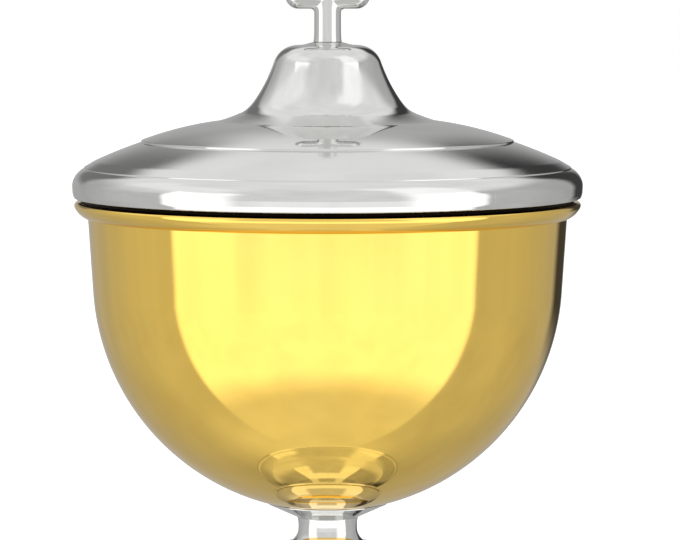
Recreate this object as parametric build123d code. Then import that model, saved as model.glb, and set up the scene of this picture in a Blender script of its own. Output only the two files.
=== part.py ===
from build123d import *
import math
import os

# A covered ciborium: a gilt cup on a knopped stem and a spread foot, with a lift-off silver lid and a cross.
# Millimetres, +Z up. The origin is the centre of the circle that the foot stands on.

# Driving dimensions
RIM_HEIGHT = 162.0             # plane of the cup's mouth, where the lid rests
SPUN_WALL = 1.0                # wall of every spun piece: cup, lid, knop and foot
FIT_GAP = 0.05                 # solder or joint gap between round faces of fixed pieces

# Cup
CUP_RADIUS = 54.95             # sphere of the lower cup
CUP_WALL_HEIGHT = 17.8         # from the sphere's centre up to the mouth
CUP_FLARE = math.radians(3.75)
CUP_CENTRE = RIM_HEIGHT - CUP_WALL_HEIGHT
CUP_BOTTOM = CUP_CENTRE - CUP_RADIUS
MOUTH_RADIUS = CUP_RADIUS / math.cos(CUP_FLARE) + CUP_WALL_HEIGHT * math.tan(CUP_FLARE)
MOUTH_RING_RADIUS = 59.2
MOUTH_RING_HEIGHT = 3.8
MOUTH_RING_EDGE = RIM_HEIGHT - 1.0     # level where the ring is widest

# Lid
SEAT_HEIGHT = 0.9              # ledge that shows as a shadow gap between the cup and the lid
SEAT_RADIUS = 57.5
BEZEL_RADIUS = 54.0            # ring that drops loosely into the cup's mouth
BEZEL_WALL = 1.0
BEZEL_DROP = 5.0
LID_BASE = RIM_HEIGHT + SEAT_HEIGHT
LID_TOP = RIM_HEIGHT + 37.1
CAP_RADIUS = 3.3
CAP_EDGE_RADIUS = 6.2
CAP_EDGE_HEIGHT = RIM_HEIGHT + 36.3

# Cross
ARM_RADIUS = 3.1
ARM_SPAN = 19.7
ARM_HEIGHT = 10.8              # level of the cross bar above the lid
CROSS_RISE = 20.6              # tip of the cross above the lid
STUD_RADIUS = 2.0
STUD_CLEARANCE = 0.1

# Stem
COLLAR_RADIUS = 14.0
COLLAR_LIP = 0.3               # thickness of the collar's feather edge
NECK_TOP = RIM_HEIGHT - 74.4
NECK_RADIUS = 7.2
NECK_FOOT_RADIUS = 11.6
KNOP_TOP = RIM_HEIGHT - 81.5
KNOP_RADIUS = 17.5
KNOP_HEIGHT = 22.0
KNOP_BOTTOM = KNOP_TOP - KNOP_HEIGHT
KNOP_MIDDLE = (KNOP_TOP + KNOP_BOTTOM) / 2
KNOP_END_RADIUS = 11.0
BAND_RADIUS = 18.6
BAND_HALF_HEIGHT = 1.6
FOOT_TOP = 50.0
FOOT_NECK_RADIUS = 9.6
ROD_RADIUS = 2.5
ROD_CLEARANCE = 0.2
BOSS_RADIUS = 5.5
BOSS_LENGTH = 8.0

# Foot
FOOT_RADIUS = 52.0
FOOT_RING_RADIUS = 52.6
FOOT_RING_BORE = 45.0
FOOT_RING_HEIGHT = 1.6
WASHER_THICKNESS = 1.2
FOOT_WASHER_RADIUS = 7.5
FOOT_NUT_FLATS = 8.0
FOOT_NUT_HEIGHT = 4.0
FINIAL_WASHER_RADIUS = 5.0
FINIAL_NUT_FLATS = 7.0
FINIAL_NUT_HEIGHT = 3.2
THREAD_SHOW = 1.0              # thread that stands past each nut


# A closed half section. Each corner is (radius, height) or (radius, height, bulge), where bulge is how far
# the stretch that ends there bows out to the right of its direction of travel; a negative bulge is hollow.
def section(*corners):
    edges = []
    for before, corner in zip(corners, corners[1:] + corners[:1]):
        start, end = before[:2], corner[:2]
        if len(corner) == 3:
            edges.append(SagittaArc(start, end, -corner[2]))
        else:
            edges.append(Line(start, end))
    return make_face(edges)


# Bulge of an arc that ends upright after it has moved out by run and up by rise.
def upright_bulge(run, rise):
    chord_angle = math.atan2(run, rise)
    return math.hypot(run, rise) / 2 * math.tan(chord_angle / 2)


# The wall left when a half section is hollowed to the spun thickness, with both halves hollowed together
# so that nothing is taken off at the axis.
def spun_wall(half):
    inside = offset(half + mirror(half, Plane.YZ), amount=-SPUN_WALL, kind=Kind.ARC)
    return half - inside


# A band of the half section between two radii and two heights.
def band(inner, outer, bottom, top):
    return Pos((inner + outer) / 2, (bottom + top) / 2) * Rectangle(outer - inner, top - bottom)


def turn(half):
    return revolve(Plane.XZ * half, Axis.Z)


def ring(inner, outer, bottom, top):
    return turn(band(inner, outer, bottom, top))


def rod(radius, bottom, top, chamfer_size=0.4):
    return turn(section(
        (0, bottom),
        (radius - chamfer_size, bottom),
        (radius, bottom + chamfer_size),
        (radius, top - chamfer_size),
        (radius - chamfer_size, top),
        (0, top),
    ))


def hex_nut(flats, bore, bottom, height):
    nut = extrude(Pos(0, 0, bottom) * RegularPolygon(flats / 2, 6, major_radius=False), height)
    bevel = turn(section(
        (0, bottom - 1),
        (flats / 2, bottom - 1),
        (flats / 2, bottom),
        (flats * 0.6, bottom + height * 0.3),
        (flats * 0.6, bottom + height),
        (0, bottom + height),
    ))
    return (nut & bevel) - ring(0, bore, bottom - 2, bottom + height + 1)


# Spun cup: part of a sphere that runs on into a straight, slightly flared wall.
def bowl():
    over = 3 * SPUN_WALL
    turned = (math.pi / 2 - CUP_FLARE) / 2
    half = section(
        (0, CUP_BOTTOM),
        (
            CUP_RADIUS * math.cos(CUP_FLARE),
            CUP_CENTRE - CUP_RADIUS * math.sin(CUP_FLARE),
            CUP_RADIUS * (1 - math.cos(turned)),
        ),
        (MOUTH_RADIUS + over * math.tan(CUP_FLARE), RIM_HEIGHT + over),
        (0, RIM_HEIGHT + over),
    )
    return turn(spun_wall(half) & band(0, MOUTH_RADIUS + over, CUP_BOTTOM - 1, RIM_HEIGHT))


# Applied moulding under the cup's mouth: flat on top where the lid rests, with a rounded edge that slants
# back to the wall below.
def mouth_ring():
    bottom = RIM_HEIGHT - MOUTH_RING_HEIGHT
    inner = MOUTH_RADIUS + FIT_GAP
    return turn(section(
        (inner - MOUTH_RING_HEIGHT * math.tan(CUP_FLARE), bottom),
        (56.4, bottom),
        (MOUTH_RING_RADIUS, MOUTH_RING_EDGE, 0.4),
        (58.5, RIM_HEIGHT, 0.2),
        (inner, RIM_HEIGHT),
    ))


# The space that the cup and its joint gap take, for cutting the pieces that seat against it.
def cup_seat():
    return Pos(0, 0, CUP_CENTRE) * Sphere(CUP_RADIUS + FIT_GAP)


# Threaded boss brazed under the cup, which takes the top of the tie rod.
def bowl_boss():
    bottom = CUP_BOTTOM - BOSS_LENGTH
    thread = ring(0, ROD_RADIUS + FIT_GAP, bottom - 1, CUP_BOTTOM - 2)
    return ring(0, BOSS_RADIUS, bottom, CUP_BOTTOM + 2) - cup_seat() - thread


# Spun lid: a barrelled edge rounded over to a bevel, a stepped dome, and a bell that sweeps up to the cap.
def lid_shell():
    half = section(
        (0, LID_BASE),
        (59.2, LID_BASE),
        (59.65, RIM_HEIGHT + 4.1),
        (56.9, RIM_HEIGHT + 7.75, 0.56),
        (56.9, RIM_HEIGHT + 8.0),
        (54.3, RIM_HEIGHT + 9.5),
        (43.5, RIM_HEIGHT + 13.8, 0.15),
        (43.5, RIM_HEIGHT + 14.25),
        (25.6, RIM_HEIGHT + 18.65, 0.53),
        (19.6, RIM_HEIGHT + 20.9, -0.12),
        (17.6, RIM_HEIGHT + 22.75, -0.08),
        (12.55, RIM_HEIGHT + 32.25, -0.38),
        (CAP_EDGE_RADIUS, CAP_EDGE_HEIGHT, 1.4),
        (CAP_RADIUS, LID_TOP),
        (0, LID_TOP),
    )
    opening = band(0, BEZEL_RADIUS + FIT_GAP, LID_BASE - 1, LID_BASE + 2 * SPUN_WALL)
    stud_hole = band(0, STUD_RADIUS + STUD_CLEARANCE, LID_TOP - 5, LID_TOP + 1)
    return turn(spun_wall(half) - opening - stud_hole)


# Ring soldered inside the lid: a ledge that rests on the mouth and a skirt that drops into it.
def lid_bezel():
    skirt_bottom = RIM_HEIGHT - BEZEL_DROP
    inner = BEZEL_RADIUS - BEZEL_WALL
    return turn(section(
        (inner, skirt_bottom),
        (BEZEL_RADIUS - 0.4, skirt_bottom),
        (BEZEL_RADIUS, skirt_bottom + 0.6),
        (BEZEL_RADIUS, RIM_HEIGHT),
        (SEAT_RADIUS, RIM_HEIGHT),
        (SEAT_RADIUS, LID_BASE),
        (BEZEL_RADIUS, LID_BASE),
        (BEZEL_RADIUS, LID_BASE + SPUN_WALL),
        (inner, LID_BASE + SPUN_WALL),
    ))


# Cast cross of round bars with round ends, standing on a small swelling.
def finial_cross():
    quarter_bulge = ARM_RADIUS * (1 - math.sqrt(0.5))
    half_span = ARM_SPAN / 2
    upright = turn(section(
        (0, LID_TOP),
        (CAP_RADIUS, LID_TOP),
        (ARM_RADIUS, LID_TOP + 1.2, -0.05),
        (ARM_RADIUS, LID_TOP + CROSS_RISE - ARM_RADIUS),
        (0, LID_TOP + CROSS_RISE, quarter_bulge),
    ))
    cross_bar = revolve(section(
        (-half_span, 0, quarter_bulge),
        (half_span, 0),
        (half_span - ARM_RADIUS, ARM_RADIUS, quarter_bulge),
        (ARM_RADIUS - half_span, ARM_RADIUS),
    ), Axis.X)
    stud_socket = ring(0, STUD_RADIUS + FIT_GAP, LID_TOP - 1, LID_TOP + 6)
    return upright + Pos(0, 0, LID_TOP + ARM_HEIGHT) * cross_bar - stud_socket


def finial_stud():
    washer_bottom = LID_TOP - SPUN_WALL - WASHER_THICKNESS
    return rod(STUD_RADIUS, washer_bottom - FINIAL_NUT_HEIGHT - THREAD_SHOW, LID_TOP + 5.5)


# Washer with a bevelled top that follows the inside of the cap.
def finial_washer():
    top = LID_TOP - SPUN_WALL
    bore = STUD_RADIUS + STUD_CLEARANCE
    flat = CAP_RADIUS - 0.2
    slope = (LID_TOP - CAP_EDGE_HEIGHT) / (CAP_EDGE_RADIUS - CAP_RADIUS)
    return turn(section(
        (bore, top - WASHER_THICKNESS),
        (FINIAL_WASHER_RADIUS, top - WASHER_THICKNESS),
        (FINIAL_WASHER_RADIUS, top - (FINIAL_WASHER_RADIUS - flat) * slope),
        (flat, top),
        (bore, top),
    ))


def finial_nut():
    top = LID_TOP - SPUN_WALL - WASHER_THICKNESS
    return hex_nut(FINIAL_NUT_FLATS, STUD_RADIUS + FIT_GAP, top - FINIAL_NUT_HEIGHT, FINIAL_NUT_HEIGHT)


# Flared collar that cradles the cup and hides the joint.
def cup_collar():
    bore = BOSS_RADIUS + 0.1
    edge = CUP_CENTRE - math.sqrt((CUP_RADIUS + FIT_GAP) ** 2 - COLLAR_RADIUS ** 2)
    return turn(section(
        (bore, NECK_TOP),
        (NECK_RADIUS, NECK_TOP),
        (COLLAR_RADIUS, edge - COLLAR_LIP),
        (COLLAR_RADIUS, edge + 1),
        (bore, edge + 1),
    )) - cup_seat()


# Turned neck between the collar and the knop, waisted and flared at its foot.
def upper_stem():
    bore = BOSS_RADIUS + 0.1
    return turn(section(
        (bore, KNOP_TOP),
        (NECK_FOOT_RADIUS, KNOP_TOP),
        (NECK_FOOT_RADIUS, KNOP_TOP + 0.4),
        (8.4, KNOP_TOP + 1.4, -0.25),
        (6.9, NECK_TOP - 2.4, -0.45),
        (NECK_RADIUS, NECK_TOP, -0.1),
        (bore, NECK_TOP),
    ))


# Half of the hollow knop, from its end face to the flat joint behind the band.
def knop_half(end_height, joint_height):
    bore = ROD_RADIUS + ROD_CLEARANCE
    lift = joint_height - end_height
    outward = math.copysign(1, lift)
    bulge = upright_bulge(KNOP_RADIUS - KNOP_END_RADIUS, abs(lift))
    half = section(
        (0, end_height),
        (KNOP_END_RADIUS, end_height),
        (KNOP_RADIUS, joint_height, bulge * outward),
        (KNOP_RADIUS, joint_height + 3 * SPUN_WALL * outward),
        (0, joint_height + 3 * SPUN_WALL * outward),
    )
    low, high = sorted((end_height, joint_height))
    kept = spun_wall(half) & band(0, KNOP_RADIUS + 1, low - 1 * (lift > 0), high + 1 * (lift < 0))
    return turn(kept - band(0, bore, low - 2, high + 2))


def knop_upper():
    return knop_half(KNOP_TOP, KNOP_MIDDLE)


def knop_lower():
    return knop_half(KNOP_BOTTOM, KNOP_MIDDLE)


# Half-round band that covers the joint between the knop's halves.
def knop_band():
    inner = KNOP_RADIUS + FIT_GAP
    return turn(section(
        (inner, KNOP_MIDDLE - BAND_HALF_HEIGHT),
        (inner + 0.3, KNOP_MIDDLE - BAND_HALF_HEIGHT),
        (inner + 0.3, KNOP_MIDDLE + BAND_HALF_HEIGHT, BAND_RADIUS - inner - 0.3),
        (inner, KNOP_MIDDLE + BAND_HALF_HEIGHT),
    ))


# Turned spool between the foot and the knop.
def lower_stem():
    bore = ROD_RADIUS + ROD_CLEARANCE
    return turn(section(
        (bore, FOOT_TOP),
        (FOOT_NECK_RADIUS, FOOT_TOP),
        (FOOT_NECK_RADIUS, FOOT_TOP + 1.2, 0.5),
        (6.8, FOOT_TOP + 3.0, -0.5),
        (7.2, KNOP_BOTTOM - 1.6, -0.5),
        (KNOP_END_RADIUS - 0.4, KNOP_BOTTOM - 0.5, -0.3),
        (KNOP_END_RADIUS - 0.4, KNOP_BOTTOM),
        (bore, KNOP_BOTTOM),
    ))


# Spun foot: an upright edge, a quarter round, a stepped slope and a trumpet that sweeps up to the stem.
def foot():
    half = section(
        (0, FOOT_RING_HEIGHT),
        (FOOT_RADIUS - 0.2, FOOT_RING_HEIGHT),
        (FOOT_RADIUS, 4.6),
        (47.8, 8.9, 1.1),
        (47.8, 9.3),
        (36.5, 14.4, 0.25),
        (36.5, 14.8),
        (24.0, 19.4, -0.5),
        (FOOT_NECK_RADIUS, FOOT_TOP, -4.2),
        (0, FOOT_TOP),
    )
    opening = band(0, FOOT_RING_BORE + 2, FOOT_RING_HEIGHT - 1, FOOT_RING_HEIGHT + 2 * SPUN_WALL)
    rod_hole = band(0, ROD_RADIUS + ROD_CLEARANCE, FOOT_TOP - 3, FOOT_TOP + 1)
    return turn(spun_wall(half) - opening - rod_hole)


# Flat ring soldered under the foot, which the whole piece stands on.
def foot_ring():
    return turn(section(
        (FOOT_RING_BORE, 0),
        (FOOT_RING_RADIUS - 0.4, 0),
        (FOOT_RING_RADIUS - 0.4, FOOT_RING_HEIGHT, 0.4),
        (FOOT_RING_BORE, FOOT_RING_HEIGHT),
    ))


# Rod that draws the foot, stem, knop and cup together.
def tie_rod():
    nut_bottom = FOOT_TOP - SPUN_WALL - WASHER_THICKNESS - FOOT_NUT_HEIGHT
    return rod(ROD_RADIUS, nut_bottom - THREAD_SHOW, CUP_BOTTOM - 2.5)


def foot_washer():
    top = FOOT_TOP - SPUN_WALL
    return ring(ROD_RADIUS + ROD_CLEARANCE, FOOT_WASHER_RADIUS, top - WASHER_THICKNESS, top)


def foot_nut():
    top = FOOT_TOP - SPUN_WALL - WASHER_THICKNESS
    return hex_nut(FOOT_NUT_FLATS, ROD_RADIUS + FIT_GAP, top - FOOT_NUT_HEIGHT, FOOT_NUT_HEIGHT)


PIECES = [
    bowl, mouth_ring, bowl_boss, cup_collar, upper_stem, knop_upper, knop_lower, knop_band, lower_stem,
    foot, foot_ring, tie_rod, foot_washer, foot_nut,
    lid_shell, lid_bezel, finial_cross, finial_stud, finial_washer, finial_nut,
]

os.makedirs("parts", exist_ok=True)
for piece in PIECES:
    export_step(piece(), f"parts/{piece.__name__}.step")
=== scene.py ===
import bmesh
import bpy
import numpy as np
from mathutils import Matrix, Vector


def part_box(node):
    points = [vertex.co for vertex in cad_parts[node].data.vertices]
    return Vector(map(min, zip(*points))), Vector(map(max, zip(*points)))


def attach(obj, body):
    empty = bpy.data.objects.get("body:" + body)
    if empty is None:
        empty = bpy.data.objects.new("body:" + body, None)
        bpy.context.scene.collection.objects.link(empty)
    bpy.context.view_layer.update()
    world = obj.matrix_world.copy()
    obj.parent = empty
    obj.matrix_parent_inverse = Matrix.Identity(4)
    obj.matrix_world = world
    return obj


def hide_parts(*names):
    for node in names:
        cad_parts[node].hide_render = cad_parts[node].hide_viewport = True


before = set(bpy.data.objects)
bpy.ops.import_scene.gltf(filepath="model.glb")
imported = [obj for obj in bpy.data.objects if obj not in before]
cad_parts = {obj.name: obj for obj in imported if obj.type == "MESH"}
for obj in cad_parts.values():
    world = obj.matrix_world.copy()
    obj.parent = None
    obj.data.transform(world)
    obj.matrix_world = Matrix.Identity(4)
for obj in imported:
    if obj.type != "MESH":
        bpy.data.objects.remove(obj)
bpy.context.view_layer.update()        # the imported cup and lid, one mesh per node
print("frame loaded:", len(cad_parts), "nodes")

toMm = 1000.0            # profiles below are written in millimetres


def nodeSize(cadNode):
    low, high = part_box(cadNode)
    return high.x * toMm, low.z * toMm, high.z * toMm        # radius, bottom, top


# Turned shapes

def stroke(corners, fineness=1.0):
    # A path through (radius, height, bulge, softness) corners. A stretch with a bulge is a circle's arc whose
    # middle stands off its chord by that much, to the right of travel. Points crowd towards both ends of a
    # stretch as half of one minus the cosine of an even angle. A softened corner is a parabola between the
    # two points that lie its softness away from the corner.
    knots = [tuple(corner) + (0.0,) * (4 - len(corner)) for corner in corners]
    stretches = []
    for begin, finish in zip(knots, knots[1:]):
        a, b, bulge = np.array(begin[:2]), np.array(finish[:2]), finish[2]
        chord = np.hypot(*(b - a))
        if abs(bulge) < 1e-6:
            turn, length = 0.0, chord
        else:
            turn = 4 * np.arctan(2 * bulge / chord)
            length = abs(turn) * chord / (2 * np.sin(abs(turn) / 2))
        stretches.append((a, b, turn, chord, length, begin[3], finish[3]))

    def along(stretch, t):
        a, b, turn, chord = stretch[:4]
        t = np.asarray(t, float)[:, None]
        if turn == 0:
            return a + (b - a) * t
        u = (b - a) / chord
        right = np.array([u[1], -u[0]])
        radius = chord / (2 * np.sin(abs(turn) / 2))
        middle = (a + b) / 2 - right * np.sign(turn) * radius * np.cos(turn / 2)
        angle = (t - 0.5) * abs(turn)
        return middle + radius * (np.cos(angle) * right * np.sign(turn) + np.sin(angle) * u)

    path = []
    for i, stretch in enumerate(stretches):
        turn, length, softStart, softEnd = stretch[2], stretch[4], stretch[5], stretch[6]
        t0, t1 = min(softStart / length, 0.45), 1 - min(softEnd / length, 0.45)
        count = int(np.ceil((8 + length / 1.2 + np.degrees(abs(turn)) / 5) * fineness))
        even = (1 - np.cos(np.linspace(0, np.pi, count))) / 2
        path.append(along(stretch, t0 + (t1 - t0) * even))
        if softEnd > 0 and i + 1 < len(stretches):
            following = stretches[i + 1]
            leave = path[-1][-1]
            join = along(following, [min(softEnd / following[4], 0.45)])[0]
            s = np.linspace(0, 1, 9)[1:-1, None]
            path.append((1 - s) ** 2 * leave + 2 * s * (1 - s) * stretch[1] + s ** 2 * join)
    path = np.concatenate(path)
    keep = np.append(True, np.hypot(*np.diff(path, axis=0).T) > 1e-4)
    return path[keep]


def innerWall(path, wall, blur=1.4, step=0.9):
    # The path's inner side: the path is evened out along its length, blurred by a bell curve so that small
    # steps vanish, and moved to the left of travel by the wall.
    length = np.append(0, np.cumsum(np.hypot(*np.diff(path, axis=0).T)))
    at = np.linspace(0, length[-1], int(length[-1] / step * 4))
    even = np.stack([np.interp(at, length, path[:, k]) for k in (0, 1)], axis=1)
    reach = int(3 * blur / (at[1] - at[0]))
    bell = np.exp(-0.5 * (np.arange(-reach, reach + 1) * (at[1] - at[0]) / blur) ** 2)
    bell /= bell.sum()
    before = 2 * even[0] - even[reach:0:-1]
    after = 2 * even[-1] - even[-2:-reach - 2:-1]
    smooth = np.stack([
        np.convolve(np.concatenate([before[:, k], even[:, k], after[:, k]]), bell, "valid") for k in (0, 1)
    ], axis=1)
    slope = np.gradient(smooth, axis=0)
    slope /= np.hypot(*slope.T)[:, None]
    moved = smooth + wall * np.stack([-slope[:, 1], slope[:, 0]], axis=1)
    return moved[::4]


def turned(name, path, spokes=240):
    # Surface of revolution: ring i and spoke j meet at (r cos a, r sin a, z) for the path's r and z and an
    # angle a that runs evenly round. A path that starts and ends on the axis is closed by a pole at each
    # end; any other path is a loop and closes on itself.
    onAxis = path[0, 0] < 1e-6 and path[-1, 0] < 1e-6
    rings = (path[1:-1] if onAxis else path) / toMm
    angle = np.linspace(0, 2 * np.pi, spokes, endpoint=False)
    points = np.stack([
        rings[:, :1] * np.cos(angle), rings[:, :1] * np.sin(angle), np.repeat(rings[:, 1:], spokes, axis=1)
    ], axis=-1).reshape(-1, 3)
    m = len(rings)
    i = np.arange(m - 1 if onAxis else m)[:, None]
    j = np.arange(spokes)[None, :]
    nextI, nextJ = (i + 1) % m, (j + 1) % spokes
    corner = [a * spokes + b for a, b in ((i, j), (i, nextJ), (nextI, nextJ), (nextI, j))]
    quads = np.stack([np.broadcast_to(c, (len(i), spokes)) for c in corner], axis=-1).reshape(-1, 4)
    faces = quads.tolist()
    if onAxis:
        first, last = len(points), len(points) + 1
        points = np.concatenate([points, [[0, 0, path[0, 1] / toMm], [0, 0, path[-1, 1] / toMm]]])
        around, onward = np.arange(spokes), (np.arange(spokes) + 1) % spokes
        faces += np.stack([np.full(spokes, first), onward, around], axis=-1).tolist()
        top = (m - 1) * spokes
        faces += np.stack([top + around, top + onward, np.full(spokes, last)], axis=-1).tolist()
    return newPiece(name, points, faces)


def turnedRing(name, corners, spokes=240):
    # A ring whose section is a closed outline: its last corner repeats the first and is left out.
    return turned(name, stroke(corners)[:-1], spokes)


def insetFrom(radius, base):
    # Corners written as insets from a widest radius and heights above a base.
    def at(inset, height, bulge=0.0, softness=0.0):
        return (radius - inset, base + height, bulge, softness)

    return at


def newPiece(name, points, faces):
    # A smooth mesh from points in metres, at the origin.
    mesh = bpy.data.meshes.new(name)
    mesh.from_pydata(points.tolist(), [], faces)
    mesh.validate()
    mesh.shade_smooth()
    piece = bpy.data.objects.new(name, mesh)
    bpy.context.scene.collection.objects.link(piece)
    return piece


def place(piece, body, cadNode, material):
    # Gives a finished piece its finish, the solid that it stands in for and the body that it moves with.
    piece.data.materials.append(material)
    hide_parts(cadNode)
    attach(piece, body)
    return piece


# Finishes

def node(tree, kind, **settings):
    made = tree.nodes.new(kind)
    for key, value in settings.items():
        setattr(made, key, value)
    return made


def feed(tree, socket, value):
    # Puts a number or a colour on a socket, or links another node's output to it.
    if isinstance(value, bpy.types.NodeSocket):
        tree.links.new(value, socket)
    elif isinstance(value, (tuple, list)) and socket.type == "RGBA":
        socket.default_value = (*value, 1.0)[:4]
    else:
        socket.default_value = value


def maths(tree, operation, *operands):
    made = node(tree, "ShaderNodeMath", operation=operation)
    for socket, value in zip(made.inputs, operands):
        feed(tree, socket, value)
    return made.outputs[0]


def mixColour(tree, factor, first, second, blend="MIX"):
    made = node(tree, "ShaderNodeMix", data_type="RGBA", blend_type=blend)
    feed(tree, made.inputs[0], factor)
    feed(tree, made.inputs[6], first)
    feed(tree, made.inputs[7], second)
    return made.outputs[2]


def remap(tree, value, low, high, newLow, newHigh):
    made = node(tree, "ShaderNodeMapRange", clamp=True)
    for socket, number in zip(made.inputs, (value, low, high, newLow, newHigh)):
        feed(tree, socket, number)
    return made.outputs[0]


def noise(tree, vector, scale, detail=2.0, roughness=0.5):
    made = node(tree, "ShaderNodeTexNoise")
    feed(tree, made.inputs["Vector"], vector)
    feed(tree, made.inputs["Scale"], scale)
    feed(tree, made.inputs["Detail"], detail)
    feed(tree, made.inputs["Roughness"], roughness)
    return made.outputs["Fac"]


def stretched(tree, vector, turn, scale):
    made = node(tree, "ShaderNodeMapping")
    feed(tree, made.inputs["Vector"], vector)
    made.inputs["Rotation"].default_value = turn
    made.inputs["Scale"].default_value = scale
    return made.outputs[0]


def newGroup(name, inputs, outputs):
    tree = bpy.data.node_groups.new(name, "ShaderNodeTree")
    for label, kind, value in inputs:
        socket = tree.interface.new_socket(name=label, in_out="INPUT", socket_type=kind)
        if value is not None:
            socket.default_value = value
    for label, kind in outputs:
        tree.interface.new_socket(name=label, in_out="OUTPUT", socket_type=kind)
    return tree, tree.nodes.new("NodeGroupInput").outputs, tree.nodes.new("NodeGroupOutput").inputs


number, vector, colour = "NodeSocketFloat", "NodeSocketVector", "NodeSocketColor"


def handPolish():
    # What a polishing cloth and a spinning lathe leave on plated metal: a slow ripple in the surface, rings
    # round the axis, hairline wiping marks that lie several ways, and faint smudges that dull the shine.
    tree, given, result = newGroup("handPolish", [
        ("Position", vector, None), ("Ripple", number, 1.0), ("Rings", number, 1.0),
        ("Hairlines", number, 1.0), ("Smudges", number, 1.0), ("Shine", number, 0.03),
    ], [("Roughness", number), ("Height", number), ("Smudge", number), ("Hairline", number)])
    parts = node(tree, "ShaderNodeSeparateXYZ")
    feed(tree, parts.inputs[0], given["Position"])
    x, y, z = parts.outputs
    radius = maths(tree, "SQRT", maths(tree, "ADD", maths(tree, "MULTIPLY", x, x), maths(tree, "MULTIPLY", y, y)))
    radial = node(tree, "ShaderNodeCombineXYZ")                # distance from the axis, and height
    feed(tree, radial.inputs[0], radius)
    feed(tree, radial.inputs[2], z)
    rings = noise(tree, radial.outputs[0], 900.0, 3.0, 0.6)
    ripple = noise(tree, given["Position"], 55.0, 2.0, 0.4)
    hairlines = 0.0
    for turn, scale in (
        ((0.3, 0.9, 0.2), (60, 4200, 900)),
        ((1.2, -0.5, 0.9), (900, 70, 5200)),
        ((-0.7, 0.4, 2.1), (4800, 900, 80)),
    ):
        lines = noise(tree, stretched(tree, given["Position"], turn, scale), 1.0, 1.0, 0.5)
        hairlines = maths(tree, "ADD", hairlines, remap(tree, lines, 0.66, 0.74, 0.0, 1.0))
    smudge = remap(tree, noise(tree, given["Position"], 38.0, 5.0, 0.62), 0.50, 0.78, 0.0, 1.0)
    rough = maths(tree, "MULTIPLY_ADD", maths(tree, "MULTIPLY", smudge, given["Smudges"]), 0.07, given["Shine"])
    rough = maths(tree, "MULTIPLY_ADD", maths(tree, "MULTIPLY", hairlines, given["Hairlines"]), 0.05, rough)
    height = maths(tree, "MULTIPLY", ripple, given["Ripple"])
    height = maths(tree, "MULTIPLY_ADD", maths(tree, "MULTIPLY", rings, given["Rings"]), 0.012, height)
    height = maths(tree, "MULTIPLY_ADD", maths(tree, "MULTIPLY", hairlines, given["Hairlines"]), -0.004, height)
    feed(tree, result["Roughness"], rough)
    feed(tree, result["Height"], height)
    feed(tree, result["Smudge"], maths(tree, "MULTIPLY", smudge, given["Smudges"]))
    feed(tree, result["Hairline"], maths(tree, "MULTIPLY", hairlines, given["Hairlines"]))
    return tree


def rubbedTint():
    # Plate that has been handled: its colour drifts a little from place to place, and smudges and hairlines
    # are paler.
    tree, given, result = newGroup("rubbedTint", [
        ("Position", vector, None), ("Plate", colour, None), ("Drift", colour, None), ("Rubbed", colour, None),
        ("Smudge", number, 0.0), ("Hairline", number, 0.0),
    ], [("Colour", colour)])
    drift = remap(tree, noise(tree, given["Position"], 22.0, 3.0, 0.5), 0.35, 0.7, 0.0, 1.0)
    tint = mixColour(tree, drift, given["Plate"], given["Drift"])
    marks = maths(tree, "MULTIPLY_ADD", given["Hairline"], 0.10, maths(tree, "MULTIPLY", given["Smudge"], 0.25))
    feed(tree, result["Colour"], mixColour(tree, marks, tint, given["Rubbed"]))
    return tree


def seamSoil():
    # Painted shade in a seam: between two heights the colour is painted dark in place of the shadow in the gap,
    # and the surface dull, with an edge that wanders a little.
    tree, given, result = newGroup("seamSoil", [
        ("Position", vector, None), ("Low", number, 0.0), ("High", number, 0.0), ("Colour", colour, None),
        ("Soil", colour, None), ("Roughness", number, 0.0),
    ], [("Colour", colour), ("Roughness", number)])
    parts = node(tree, "ShaderNodeSeparateXYZ")
    feed(tree, parts.inputs[0], given["Position"])
    wander = remap(tree, noise(tree, given["Position"], 900.0, 3.0, 0.6), 0.2, 0.8, -0.00004, 0.00004)
    level = maths(tree, "ADD", parts.outputs[2], wander)
    above = maths(tree, "GREATER_THAN", level, given["Low"])
    below = maths(tree, "LESS_THAN", level, given["High"])
    mask = maths(tree, "MULTIPLY", above, below)
    # Between the two heights the colour is painted near black: painted shade for the gap.
    feed(tree, result["Colour"], mixColour(tree, mask, given["Colour"], given["Soil"]))
    feed(tree, result["Roughness"], maths(tree, "MULTIPLY_ADD", mask, 0.5, given["Roughness"]))
    return tree


polishGroup, tintGroup, paintedSeamShadeGroup = handPolish(), rubbedTint(), seamSoil()


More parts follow.
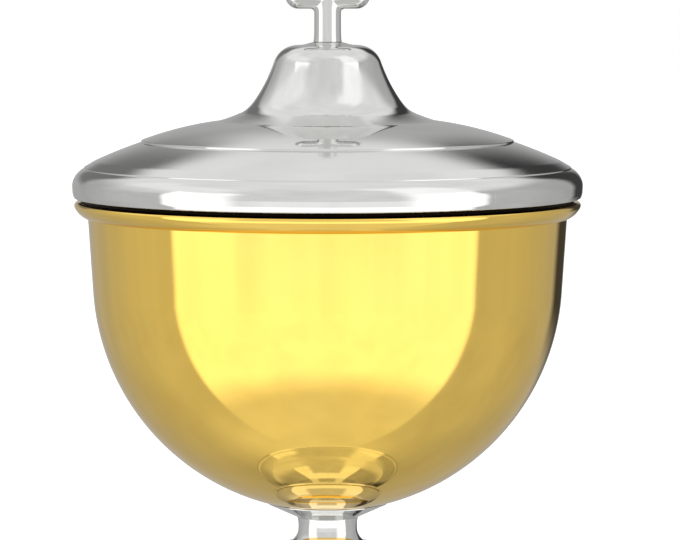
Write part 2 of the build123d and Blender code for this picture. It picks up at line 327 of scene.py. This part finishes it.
def plated(name, finish):
    # Plated or bare metal, polished by hand, with painted shade in its seam where the finish names one.
    material = bpy.data.materials.new(name)
    material.use_nodes = True
    tree = material.node_tree
    shader = tree.nodes["Principled BSDF"]
    position = node(tree, "ShaderNodeTexCoord").outputs["Object"]
    polish = node(tree, "ShaderNodeGroup", node_tree=polishGroup)
    tint = node(tree, "ShaderNodeGroup", node_tree=tintGroup)
    feed(tree, polish.inputs["Position"], position)
    feed(tree, tint.inputs["Position"], position)
    for key in ("Ripple", "Rings", "Hairlines", "Smudges", "Shine"):
        polish.inputs[key].default_value = finish[key.lower()]
    for key in ("Plate", "Drift", "Rubbed"):
        feed(tree, tint.inputs[key], finish[key.lower()])
    feed(tree, tint.inputs["Smudge"], polish.outputs["Smudge"])
    feed(tree, tint.inputs["Hairline"], polish.outputs["Hairline"])
    bump = node(tree, "ShaderNodeBump")
    bump.inputs["Strength"].default_value = 1.0
    bump.inputs["Distance"].default_value = finish["depth"]
    feed(tree, bump.inputs["Height"], polish.outputs["Height"])
    feed(tree, shader.inputs["Normal"], bump.outputs[0])
    roughness, colouring = polish.outputs["Roughness"], tint.outputs["Colour"]
    if "seam" in finish:
        # The seam under the lid gets painted shade: its colour is painted near black where the gap's shadow falls.
        soil = node(tree, "ShaderNodeGroup", node_tree=paintedSeamShadeGroup)
        low, high = finish["seam"]
        for key, value in (("Position", position), ("Low", low), ("High", high), ("Colour", colouring),
                           ("Soil", finish["soil"]), ("Roughness", roughness)):
            feed(tree, soil.inputs[key], value)
        roughness, colouring = soil.outputs["Roughness"], soil.outputs["Colour"]
    feed(tree, shader.inputs["Roughness"], roughness)
    feed(tree, shader.inputs["Base Color"], colouring)
    shader.inputs["Metallic"].default_value = 1.0
    return material


gold = {
    "plate": (1.0, 0.665, 0.135), "drift": (1.0, 0.69, 0.16), "rubbed": (1.0, 0.75, 0.26),
    "shine": 0.045, "ripple": 1.0, "rings": 1.2, "hairlines": 0.8, "smudges": 0.6, "depth": 0.00004,
}
silver = {
    "plate": (0.71, 0.71, 0.695), "drift": (0.75, 0.75, 0.735), "rubbed": (0.82, 0.82, 0.81),
    "shine": 0.055, "ripple": 1.0, "rings": 2.6, "hairlines": 1.6, "smudges": 0.9, "depth": 0.00004,
}
# Painted shade under the lid's edge, between the height of the cup's mouth and the underside of the lid.
seamEnds = (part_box("bowl")[1].z - 0.0001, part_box("lid_shell")[0].z + 0.0001)
# The near-black colour is painted shade, standing in for the shadow in the gap.
seam = {"seam": seamEnds, "soil": (0.010, 0.007, 0.005)}
goldPlate = plated("goldPlate", gold)
goldShadedSeam = plated("goldShadedSeam", {**gold, **seam})
goldSatin = plated("goldSatin", {**gold, "shine": 0.24, "rings": 4.0, "hairlines": 1.5})
silverPlate = plated("silverPlate", silver)
silverShadedSeam = plated("silverShadedSeam", {**silver, **seam})
bareBrass = plated("bareBrass", {
    "plate": (0.72, 0.48, 0.20), "drift": (0.62, 0.40, 0.16), "rubbed": (0.85, 0.62, 0.32),
    "shine": 0.22, "ripple": 1.0, "rings": 6.0, "hairlines": 1.5, "smudges": 1.5, "depth": 0.00006,
})
turnedSteel = plated("turnedSteel", {
    "plate": (0.58, 0.57, 0.55), "drift": (0.50, 0.49, 0.47), "rubbed": (0.70, 0.70, 0.69),
    "shine": 0.25, "ripple": 1.0, "rings": 8.0, "hairlines": 2.0, "smudges": 1.5, "depth": 0.00008,
})
print("finishes made")


# The cup

cup = {"flare": np.radians(3.75), "wall": 1.0, "lipSoftness": 0.28, "liningCentre": 30.0}


def cupSphere(cup):
    # The sphere and the flared wall meet in a smooth line, which fixes the sphere's radius: the mouth less the
    # height times the slope, over one by the cosine of the flare less the slope.
    mouth, bottom, rim = nodeSize("bowl")
    slope = np.tan(cup["flare"])
    sphere = (mouth - (rim - bottom) * slope) / (1 / np.cos(cup["flare"]) - slope)
    return sphere, bottom + sphere, slope


def makeCup(cup):
    # Outside and inside are each an arc of a sphere that runs on into a straight flared wall.
    rim = nodeSize("bowl")[2]
    sphere, centre, slope = cupSphere(cup)
    corners = []
    for radius, side in ((sphere, 1), (sphere - cup["wall"], -1)):
        turn = (np.pi / 2 - cup["flare"]) / 2
        bulge = radius * (1 - np.cos(turn))
        join = (radius * np.cos(cup["flare"]), centre - radius * np.sin(cup["flare"]))
        lip = (join[0] + (rim - join[1]) * slope, rim)
        half = [(0.0, centre - radius), (*join, bulge), (*lip, 0.0, cup["lipSoftness"])]
        if side < 0:
            half = [half[2], join, (0.0, centre - radius, -bulge)]
        corners += half
    return turned("giltCup", stroke(corners), 360)


mouthRing = {"under": 56.4, "edgeDrop": 1.0, "top": 58.5, "underBulge": 0.4, "topBulge": 0.2, "gap": 0.03}


def makeMouthRing(mouthRing):
    # A moulding whose inner side follows the flared wall and whose outer side swells to its widest near the top.
    radius, bottom, rim = nodeSize("mouth_ring")
    outer = nodeSize("bowl")[0] + mouthRing["gap"]
    inner = outer - (rim - bottom) * np.tan(cup["flare"])
    corners = [
        (inner, bottom, 0, 0.12), (mouthRing["under"], bottom, 0, 0.25),
        (radius, rim - mouthRing["edgeDrop"], mouthRing["underBulge"], 0.35),
        (mouthRing["top"], rim, mouthRing["topBulge"], 0.15),
        (outer, rim, 0, 0.12), (inner, bottom),
    ]
    return turnedRing("mouthMoulding", corners, 360)


def lineInside(piece, material, height):
    # A face is inside when its normal points towards a point on the axis at the given height.
    piece.data.materials.append(material)
    faces = piece.data.polygons
    normals, centres = np.empty(len(faces) * 3), np.empty(len(faces) * 3)
    faces.foreach_get("normal", normals)
    faces.foreach_get("center", centres)
    away = centres.reshape(-1, 3) - (0.0, 0.0, height / toMm)
    inside = (normals.reshape(-1, 3) * away).sum(axis=1) < 0
    faces.foreach_set("material_index", inside.astype(np.int32))
    piece.data.update()


giltCup = place(makeCup(cup), "vessel", "bowl", goldPlate)
lineInside(giltCup, goldSatin, nodeSize("bowl")[2] - cup["liningCentre"])
place(makeMouthRing(mouthRing), "vessel", "mouth_ring", goldPlate)
print("cup made")


# The lid

lid = {
    "wall": 1.0, "lipInset": 5.6, "lowerInset": 0.45, "lowerTurn": (0.1, 1.1, 0.0), "widest": 3.2,
    "crease": (2.75, 6.85, 0.56), "creaseRise": 0.25, "bevelEnd": (5.35, 8.6), "slopeEnd": (16.15, 12.9, 0.15),
    "secondStep": 0.45, "domeEnd": (34.05, 17.75, 0.53), "skirt": (40.05, 20.0, -0.12),
    "bellFoot": (42.05, 21.85, -0.08), "bell": (47.1, 31.35, -0.38), "shoulder": (53.45, 35.4, 1.4),
    "capRadius": 3.3, "hole": 2.12, "stepSoftness": 0.14,
}


def makeLid(lid):
    # Heights are above the lid's lower edge and radii are insets from its widest edge.
    radius, base, top = nodeSize("lid_shell")
    step, at = lid["stepSoftness"], insetFrom(radius, base)
    crease, slope, dome = lid["crease"], lid["slopeEnd"], lid["domeEnd"]
    outer = stroke([
        at(lid["lipInset"], 0),
        at(lid["lowerInset"], 0, 0, 0.35),
        at(*lid["lowerTurn"], 0.3),
        at(0, lid["widest"], 0, 0.6),
        at(*crease, step),
        at(crease[0], crease[1] + lid["creaseRise"], 0, step),
        at(*lid["bevelEnd"], 0, 0.5),
        at(*slope, step),
        at(slope[0], slope[1] + lid["secondStep"], 0, step),
        at(*dome, 0.5),
        at(*lid["skirt"], 0.9),
        at(*lid["bellFoot"], 0.9),
        at(*lid["bell"], 0.3),
        at(*lid["shoulder"], 1.4),
        (lid["capRadius"], top, 0, 0.8),
        (lid["hole"], top),
    ])
    return turned("lidSpinning", np.concatenate([outer, innerWall(outer, lid["wall"])[::-1]]), 236)


bezel = {"wall": 1.0, "softness": 0.2, "chamfer": (0.4, 0.6), "gap": 0.05}


def makeBezel(bezel):
    # Skirt that drops into the mouth, with the ledge that rests on it.
    ledge, bottom, top = nodeSize("lid_bezel")
    rim = nodeSize("bowl")[2]
    ledgeTop = nodeSize("lid_shell")[1]
    skirt = nodeSize("lid_shell")[0] - lid["lipInset"] - bezel["gap"]
    inner = skirt - bezel["wall"]
    cut, rise = bezel["chamfer"]
    soft = bezel["softness"]
    corners = [
        (inner, bottom, 0, soft), (skirt - cut, bottom, 0, 0.15), (skirt, bottom + rise, 0, soft),
        (skirt, rim, 0, 0.1), (ledge, rim, 0, soft), (ledge, ledgeTop, 0, soft), (skirt, ledgeTop, 0, 0.1),
        (skirt, top, 0, soft), (inner, top, 0, soft), (inner, bottom),
    ]
    return turnedRing("lidBezel", corners)


cross = {"bar": 3.1, "crook": 0.9, "rise": 10.8, "flare": 0.07, "flareHeight": 0.9}


def spaced(begin, finish, count):
    return np.linspace(begin, finish, count)[:, None]        # even steps as a column


def makeCross(cross):
    # The outline of an equal-armed cross is walked once; each of its points belongs to a foot on the nearest
    # bar's centre line. A point of the surface is the foot, plus the way to the outline times cos v, with a
    # depth of the bar's radius times sin v, and v runs from back to front. Below the base it is cut level.
    low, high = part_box("finial_cross")
    bar, crook = cross["bar"], cross["crook"]
    base, tip, reach = low.z * toMm, high.z * toMm, high.x * toMm
    middle = base + cross["rise"]
    ends = [reach - bar, tip - middle - bar, reach - bar, middle - base]     # right, up, left, down
    outline, feet = [], []
    for quarterTurn, (this, following) in enumerate(zip(ends, ends[1:] + ends[:1])):
        c, s = np.cos(quarterTurn * np.pi / 2), np.sin(quarterTurn * np.pi / 2)
        spin = np.array([[c, s], [-s, c]])
        cap = spaced(-np.pi / 2, np.pi / 2, 33)
        tipFoot = np.repeat([[this, 0.0]], 33, axis=0)
        parts = [(tipFoot + bar * np.hstack([np.cos(cap), np.sin(cap)]), tipFoot)]
        run = spaced(this, bar + crook, 26)[1:]
        parts.append((np.hstack([run, np.full_like(run, bar)]), np.hstack([run, np.zeros_like(run)])))
        bend = spaced(0, np.pi / 2, 25)[1:]
        corner = (bar + crook) - crook * np.hstack([np.sin(bend), np.cos(bend)])
        slide = (bar + crook) * np.hstack([
            np.clip(1 - bend / (np.pi / 4), 0, 1), np.clip(bend / (np.pi / 4) - 1, 0, 1)
        ])
        parts.append((corner, slide))
        run = spaced(bar + crook, following, 26)[1:-1]
        parts.append((np.hstack([np.full_like(run, bar), run]), np.hstack([np.zeros_like(run), run])))
        outline += [edge @ spin for edge, foot in parts]
        feet += [foot @ spin for edge, foot in parts]
    outline, feet = np.concatenate(outline), np.concatenate(feet)
    v = np.linspace(-np.pi / 2, np.pi / 2, 33)[None, :]
    x = feet[:, :1] + (outline - feet)[:, :1] * np.cos(v)
    z = feet[:, 1:] + (outline - feet)[:, 1:] * np.cos(v)
    z = np.maximum(z, base - middle)
    y = -bar * np.sin(v) * np.ones_like(x)
    swell = 1 + cross["flare"] * np.exp(-(z - base + middle) / cross["flareHeight"])
    points = np.stack([x * swell, y * swell, z + middle], axis=-1) / toMm
    count, across = x.shape
    i, j = np.arange(count)[:, None], np.arange(across - 1)[None, :]
    nextI = (i + 1) % count
    quads = np.stack(np.broadcast_arrays(
        i * across + j, nextI * across + j, nextI * across + j + 1, i * across + j + 1
    ), axis=-1).reshape(-1, 4)
    return mended(newPiece("altarCross", points.reshape(-1, 3), quads.tolist()))


def mended(piece):
    # Merges the doubled points along seams and turns all faces outward.
    shape = bmesh.new()
    shape.from_mesh(piece.data)
    bmesh.ops.remove_doubles(shape, verts=shape.verts, dist=2e-6)
    bmesh.ops.dissolve_degenerate(shape, edges=shape.edges, dist=1e-6)
    bmesh.ops.recalc_face_normals(shape, faces=shape.faces)
    shape.to_mesh(piece.data)
    shape.free()
    piece.data.shade_smooth()
    return piece


place(makeLid(lid), "lid", "lid_shell", silverShadedSeam)
place(makeBezel(bezel), "lid", "lid_bezel", goldShadedSeam)
place(makeCross(cross), "lid", "finial_cross", silverPlate)
print("lid made")


# The stem and foot

collar = {"bore": 5.6, "foot": 7.2, "lip": 0.3, "gap": 0.05, "softness": 0.08}


def makeCollar(collar):
    # A flare whose top is hollowed to the cup's sphere, a gap wider, and ends in a thin lip.
    radius, bottom = nodeSize("cup_collar")[:2]
    sphere, centre = cupSphere(cup)[:2]
    sphere += collar["gap"]
    bore, soft = collar["bore"], collar["softness"]
    edge = centre - np.sqrt(sphere ** 2 - radius ** 2)
    boreTop = centre - np.sqrt(sphere ** 2 - bore ** 2)
    half = (np.arcsin(radius / sphere) - np.arcsin(bore / sphere)) / 2
    corners = [
        (bore, bottom), (collar["foot"], bottom, 0, 0.2), (radius, edge - collar["lip"], 0, soft),
        (radius, edge, 0, soft), (bore, boreTop, -sphere * (1 - np.cos(half)), 0.1), (bore, bottom),
    ]
    return turnedRing("cupCollar", corners)


neck = {"bore": 5.6, "edge": 0.4, "flare": (8.4, 1.4, -0.25), "waist": (6.9, 2.4, -0.45), "head": (7.2, -0.1)}


def makeNeck(neck):
    # Hollow arcs from a flat edge at the bottom up to a waist and out again under the collar.
    radius, bottom, top = nodeSize("upper_stem")
    bore, edge = neck["bore"], bottom + neck["edge"]
    (flare, flareRise, flareBulge), (waist, waistDrop, waistBulge) = neck["flare"], neck["waist"]
    head, headBulge = neck["head"]
    corners = [
        (bore, bottom), (radius, bottom, 0, 0.1), (radius, edge, 0, 0.1),
        (flare, bottom + flareRise, flareBulge, 0.3), (waist, top - waistDrop, waistBulge, 0.5),
        (head, top, headBulge, 0.15), (bore, top), (bore, bottom),
    ]
    return turnedRing("stemNeck", corners)


knop = {"wall": 1.0, "endRadius": 11.0, "endInset": 0.6, "hole": 2.7}


def makeKnopHalf(knop, name, cadNode, upper):
    # Half a hollow knop; the lower half is the upper one mirrored in the joint.
    radius, bottom, top = nodeSize(cadNode)
    rise = top - bottom
    sign = 1 if upper else -1
    joint = bottom if upper else top
    wall, hole, end = knop["wall"], knop["hole"], knop["endRadius"]
    innerEnd = end - knop["endInset"]

    def upright(outer, inner, high):
        # Bulge of an arc that starts upright: half its chord times the tangent of half its lean.
        angle = np.arctan2(outer - inner, high)
        return np.hypot(outer - inner, high) / 2 * np.tan(angle / 2)

    corners = [
        (radius - wall, 0.0), (radius, 0.0, 0, 0.15), (end, rise, upright(radius, end, rise), 0.25),
        (hole, rise, 0, 0.15), (hole, rise - wall, 0, 0.15), (innerEnd, rise - wall, 0, 0.4),
        (radius - wall, 0.0, -upright(radius - wall, innerEnd, rise - wall)),
    ]
    path = stroke(corners)[:-1]
    path = np.stack([path[:, 0], joint + sign * path[:, 1]], axis=1)
    return turned(name, path if upper else path[::-1], 240)


belt = {"gap": 0.03, "flat": 0.3, "softness": 0.12}


def makeKnopBelt(belt):
    # A band round the joint: a flat at each end and an arc that swells to the widest radius between them.
    radius, bottom, top = nodeSize("knop_band")
    inner = nodeSize("knop_upper")[0] + belt["gap"]
    flat, soft = inner + belt["flat"], belt["softness"]
    corners = [
        (inner, bottom), (flat, bottom, 0, soft), (flat, top, radius - inner - belt["flat"], soft),
        (inner, top), (inner, bottom),
    ]
    return turnedRing("knopBelt", corners)


spool = {
    "bore": 2.7, "base": (9.6, 1.2, 0.5), "waist": (6.8, 3.0, -0.5), "neck": (7.2, 1.6, -0.5), "rim": (0.5, -0.3),
}


def makeSpool(spool):
    # A rounded base, two hollow arcs with a waist between them, and a flat rim under the knop.
    radius, bottom, top = nodeSize("lower_stem")
    bore, (base, baseRise, baseBulge) = spool["bore"], spool["base"]
    (waist, waistRise, waistBulge), (throat, throatDrop, throatBulge) = spool["waist"], spool["neck"]
    rimDrop, rimBulge = spool["rim"]
    corners = [
        (bore, bottom), (base, bottom, 0, 0.15), (base, bottom + baseRise, baseBulge, 0.15),
        (waist, bottom + waistRise, waistBulge, 0.3), (throat, top - throatDrop, throatBulge, 0.3),
        (radius, top - rimDrop, rimBulge, 0.12), (radius, top, 0, 0.12), (bore, top), (bore, bottom),
    ]
    return turnedRing("stemSpool", corners)


foot = {
    "wall": 1.0, "lipInset": 5.0, "edgeHeight": 3.0, "edgeLean": 0.2,
    "quarterRound": (4.2, 7.3, 1.1), "firstStep": 0.4, "slopeEnd": (15.5, 12.8, 0.25), "secondStep": 0.4,
    "apronEnd": (28.0, 17.8, -0.5), "neckRadius": 9.6, "trumpet": -4.2, "hole": 2.7, "stepSoftness": 0.14,
}


def makeFoot(foot):
    # An upright edge, a quarter round, two steps and a hollow arc that rises to the stem.
    radius, base, top = nodeSize("foot")
    step, at = foot["stepSoftness"], insetFrom(radius, base)
    quarter, slope = foot["quarterRound"], foot["slopeEnd"]
    outer = stroke([
        at(foot["lipInset"], 0),
        at(foot["edgeLean"], 0, 0, 0.2),
        at(0, foot["edgeHeight"], 0, 0.2),
        at(*quarter, step),
        at(quarter[0], quarter[1] + foot["firstStep"], 0, step),
        at(*slope, step),
        at(slope[0], slope[1] + foot["secondStep"], 0, step),
        at(*foot["apronEnd"], 3.0),
        (foot["neckRadius"], top, foot["trumpet"], 0.25),
        (foot["hole"], top),
    ])
    return turned("footSpinning", np.concatenate([outer, innerWall(outer, foot["wall"])[::-1]]), 300)


footRim = {"bore": 45.0, "bulge": 0.4}


def makeFootRim(footRim):
    # A flat ring with a rounded outer edge.
    radius, bottom, top = nodeSize("foot_ring")
    bore, bulge = footRim["bore"], footRim["bulge"]
    corners = [
        (bore, bottom, 0, 0.2), (radius - bulge, bottom, 0, 0.12), (radius - bulge, top, bulge, 0.12),
        (bore, top, 0, 0.2), (bore, bottom),
    ]
    return turnedRing("footRim", corners, 300)


place(makeCollar(collar), "vessel", "cup_collar", silverPlate)
place(makeNeck(neck), "vessel", "upper_stem", silverPlate)
place(makeKnopHalf(knop, "knopTop", "knop_upper", True), "vessel", "knop_upper", silverPlate)
place(makeKnopHalf(knop, "knopBottom", "knop_lower", False), "vessel", "knop_lower", silverPlate)
place(makeKnopBelt(belt), "vessel", "knop_band", silverPlate)
place(makeSpool(spool), "vessel", "lower_stem", silverPlate)
place(makeFoot(foot), "vessel", "foot", silverPlate)
place(makeFootRim(footRim), "vessel", "foot_ring", silverPlate)

# Fasteners that the pieces above hide keep their shape and get a finish.
hidden = {
    "bowl_boss": bareBrass, "tie_rod": turnedSteel, "foot_washer": turnedSteel, "foot_nut": turnedSteel,
    "finial_stud": turnedSteel, "finial_washer": turnedSteel, "finial_nut": turnedSteel,
}
for name, material in hidden.items():
    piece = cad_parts[name]
    piece.data.materials.clear()
    piece.data.materials.append(material)
print("stem, foot and fasteners made")


# Floor, light and camera

# A plain white tent with broad soft panels. Each panel covers a span of azimuth (0 is straight in front of the
# cup, 90 to its right) and of height above the horizon, in degrees. Its edges are how softly it ends at its low
# and high azimuth and at its low and high height; where that is 0 it has no end. Later panels lie over earlier.
tent = {
    "walls": 0.92, "folds": 0.06,
    "panels": [
        {"azimuth": (-400, 400), "height": (-100, -9.8), "edge": (0, 0, 0, 6), "light": 0.80},    # sweep
        {"azimuth": (-400, -79), "height": (-62, 20), "edge": (0, 4, 40, 30), "light": 0.62},    # left wall
        {"azimuth": (76, 400), "height": (-72, 34), "edge": (4, 0, 30, 14), "light": 0.57},    # right wall
        {"azimuth": (-400, -122), "height": (-75, 30), "edge": (0, 60, 24, 24), "light": 0.44},    # back
        {"azimuth": (122, 400), "height": (-75, 30), "edge": (60, 0, 24, 24), "light": 0.44},
        {"azimuth": (-79, 76), "height": (-47, 36), "edge": (4, 4, 18, 6), "light": 1.45},    # front softbox
        {"azimuth": (-125, -55), "height": (34, 54), "edge": (16, 16, 8, 10), "light": 1.06},    # high left
        {"azimuth": (26, 80), "height": (34, 66), "edge": (16, 16, 8, 12), "light": 1.26},    # high right
        {"azimuth": (-44, 38), "height": (-9.8, 60), "edge": (14, 14, 8, 14), "light": 0.84},    # unlit middle
        {"azimuth": (-170, -146), "height": (8, 34), "edge": (10, 10, 10, 10), "light": 0.20},    # dark cards
        {"azimuth": (146, 170), "height": (-12, 34), "edge": (10, 10, 10, 10), "light": 0.05},
    ],
}


def makeTent(tent):
    # For a direction (x, y, z), azimuth is the arc tangent of x over -y and height is the arc sine of z.
    world = bpy.data.worlds.new("tent")
    world.use_nodes = True
    bpy.context.scene.world = world
    tree = world.node_tree
    direction = node(tree, "ShaderNodeTexCoord").outputs["Generated"]
    parts = node(tree, "ShaderNodeSeparateXYZ")
    feed(tree, parts.inputs[0], direction)
    x, y, z = parts.outputs
    azimuth = maths(tree, "DEGREES", maths(tree, "ARCTAN2", x, maths(tree, "MULTIPLY", y, -1.0)))
    height = maths(tree, "DEGREES", maths(tree, "ARCSINE", z))
    light = (tent["walls"],) * 3
    for panel in tent["panels"]:
        bounds = [(azimuth, panel["azimuth"][0], 0), (azimuth, panel["azimuth"][1], 1),
                  (height, panel["height"][0], 0), (height, panel["height"][1], 1)]
        mask = 1.0
        for (angle, edge, falling), soft in zip(bounds, panel["edge"]):
            if soft > 0:
                fade = node(tree, "ShaderNodeMapRange", interpolation_type="SMOOTHSTEP")
                settings = (angle, edge - soft / 2, edge + soft / 2, float(falling), 1.0 - falling)
                for socket, value in zip(fade.inputs, settings):
                    feed(tree, socket, value)
                mask = maths(tree, "MULTIPLY", mask, fade.outputs[0])
        light = mixColour(tree, mask, light, (panel["light"],) * 3)
    cloth = noise(tree, direction, 3.5, 3.0, 0.55)
    folds = remap(tree, cloth, 0.3, 0.7, 1 - tent["folds"], 1 + tent["folds"])
    light = mixColour(tree, 1.0, light, folds, "MULTIPLY")
    seen = node(tree, "ShaderNodeLightPath").outputs["Is Camera Ray"]
    feed(tree, tree.nodes["Background"].inputs["Color"], mixColour(tree, seen, light, (1.0, 1.0, 1.0)))


floorSheet = {"reach": 6.0, "drop": 0.0001, "paint": (0.92, 0.92, 0.92, 1), "roughness": 0.9, "glow": 0.42}


def makeFloor(floorSheet):
    # One flat square, just under the foot.
    reach, drop = floorSheet["reach"], floorSheet["drop"]
    sheet = np.array([[-1, -1], [1, -1], [1, 1], [-1, 1]]) * reach
    floor = newPiece("floor", np.column_stack([sheet, np.full(4, -drop)]), [[0, 1, 2, 3]])
    paint = bpy.data.materials.new("paleFloor")
    paint.use_nodes = True
    shader = paint.node_tree.nodes["Principled BSDF"]
    shader.inputs["Base Color"].default_value = floorSheet["paint"]
    shader.inputs["Roughness"].default_value = floorSheet["roughness"]
    shader.inputs["Emission Color"].default_value = (1, 1, 1, 1)
    shader.inputs["Emission Strength"].default_value = floorSheet["glow"]
    floor.data.materials.append(paint)
    floor.visible_glossy = False


makeTent(tent)
makeFloor(floorSheet)
bpy.context.scene.view_settings.view_transform = "Standard"
print("tent and floor made")

view = {
    "distance": 900.0, "elevation": np.radians(4.7), "aim": -16.27, "side": 2.9, "sensor": 36.0, "lens": 203.34706,
}


def makeCamera(view):
    # Aimed at a point by the axis, a little under the rim, from straight in front and slightly above.
    rim = nodeSize("bowl")[2]
    aim = np.array([view["side"], 0.0, rim + view["aim"]]) / toMm
    back = np.array([0.0, -np.cos(view["elevation"]), np.sin(view["elevation"])]) * view["distance"] / toMm
    made = bpy.data.cameras.new("camera")
    made.sensor_width = view["sensor"]
    made.lens = view["lens"]
    camera = bpy.data.objects.new("camera", made)
    camera.location = Vector(aim + back)
    camera.rotation_euler = Vector(-back).to_track_quat("-Z", "Y").to_euler()
    bpy.context.scene.collection.objects.link(camera)
    bpy.context.scene.camera = camera


makeCamera(view)
